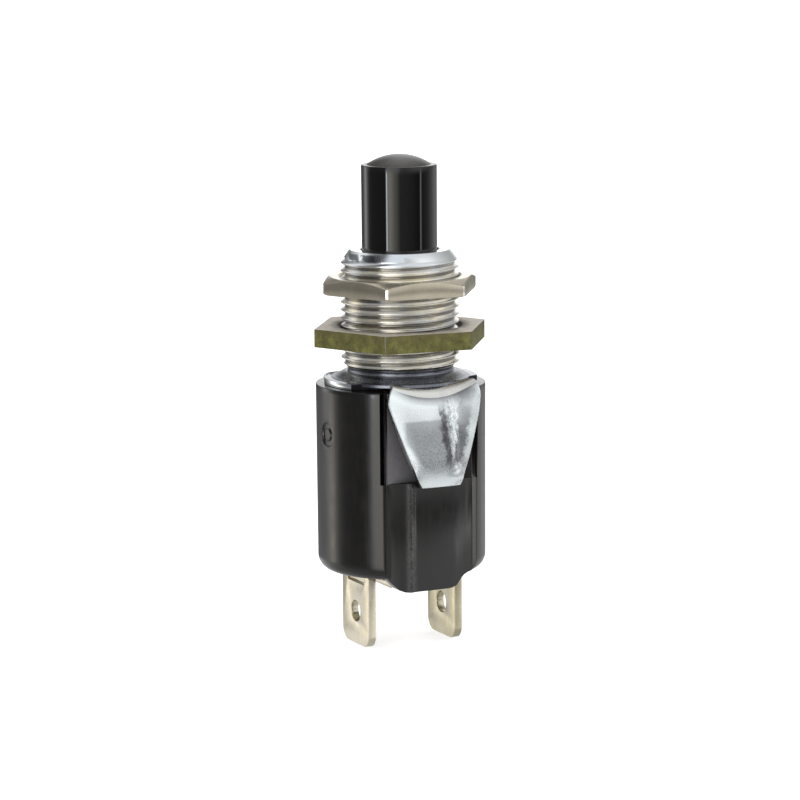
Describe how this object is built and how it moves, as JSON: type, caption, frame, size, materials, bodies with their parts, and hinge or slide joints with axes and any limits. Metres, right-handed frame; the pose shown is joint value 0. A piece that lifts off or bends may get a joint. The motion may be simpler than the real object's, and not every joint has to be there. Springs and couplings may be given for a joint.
{
  "type": "momentary push button switch",
  "caption": "Panel-mount momentary push button: round black button in a threaded bushing with hex nuts, sheet-steel frame, moulded body and blade terminals.",
  "frame": {"origin": "on the button's axis, level with the terminals' tips", "axes": "+Z along the button's axis, from the terminals towards the button; X is the line between the two terminals; the frame's two ears are at +Y and -Y"},
  "size_m": [0.0182, 0.0166, 0.0494],
  "materials": {
    "black_gloss": "glossy moulded black thermoplastic",
    "black_satin": "satin moulded black phenolic, fine vertical draw marks",
    "nickel_plate": "bright nickel plate on brass, turned threads",
    "nickel_satin": "satin nickel plate, slightly warm",
    "olive_chromate": "olive-green chromate, grainy",
    "bright_zinc": "bright bluish zinc plate on sheet steel",
    "tinned_brass": "satin tin plate on brass strip, sheared edges browner",
    "contact_silver": "silver alloy contact metal",
    "contact_copper": "bare copper alloy strip",
    "spring_steel": "hard-drawn spring wire and strip",
    "red_fibre": "vulcanised fibre sheet",
    "natural_nylon": "natural nylon"
  },
  "bodies": {
    "housing": {"body_housing": "black_satin", "insulating_disc": "red_fibre", "mounting_frame": "bright_zinc", "threaded_bushing": "nickel_plate", "spring_seat_washer": "bright_zinc", "return_spring": "spring_steel", "terminal_left": "tinned_brass", "terminal_right": "tinned_brass", "contact_rivet_left": "contact_silver", "contact_rivet_right": "contact_silver"},
    "plunger": {"push_button": "black_gloss", "plunger_stem": "natural_nylon", "bridge_clip": "spring_steel", "contact_spring": "spring_steel"},
    "bridge": {"contact_bridge": "contact_copper", "moving_contact_left": "contact_silver", "moving_contact_right": "contact_silver"},
    "front_nut": {"face_nut": "nickel_satin"},
    "rear_nut": {"backing_nut": "olive_chromate"}
  },
  "joints": [
    {"name": "button_press", "type": "slide", "parent": "housing", "child": "plunger", "axis": [0, 0, -1], "range_m": [0, 0.0023], "stiffness_N_per_m": 900, "springref_m": -0.002, "deforming": ["return_spring"]},
    {"name": "bridge_float", "type": "slide", "parent": "plunger", "child": "bridge", "axis": [0, 0, 1], "range_m": [0, 0.00112], "deforming": ["contact_spring"]},
    {"name": "face_nut_run", "type": "slide", "parent": "housing", "child": "front_nut", "axis": [0, 0, 1], "range_m": [-0.0013, 0.0024]},
    {"name": "backing_nut_run", "type": "slide", "parent": "housing", "child": "rear_nut", "axis": [0, 0, 1], "range_m": [-0.0019, 0.0014]}
  ],
  "couplings": [
    {"joint": "bridge_float", "follows": "button_press", "ratio": 0.48}
  ]
}
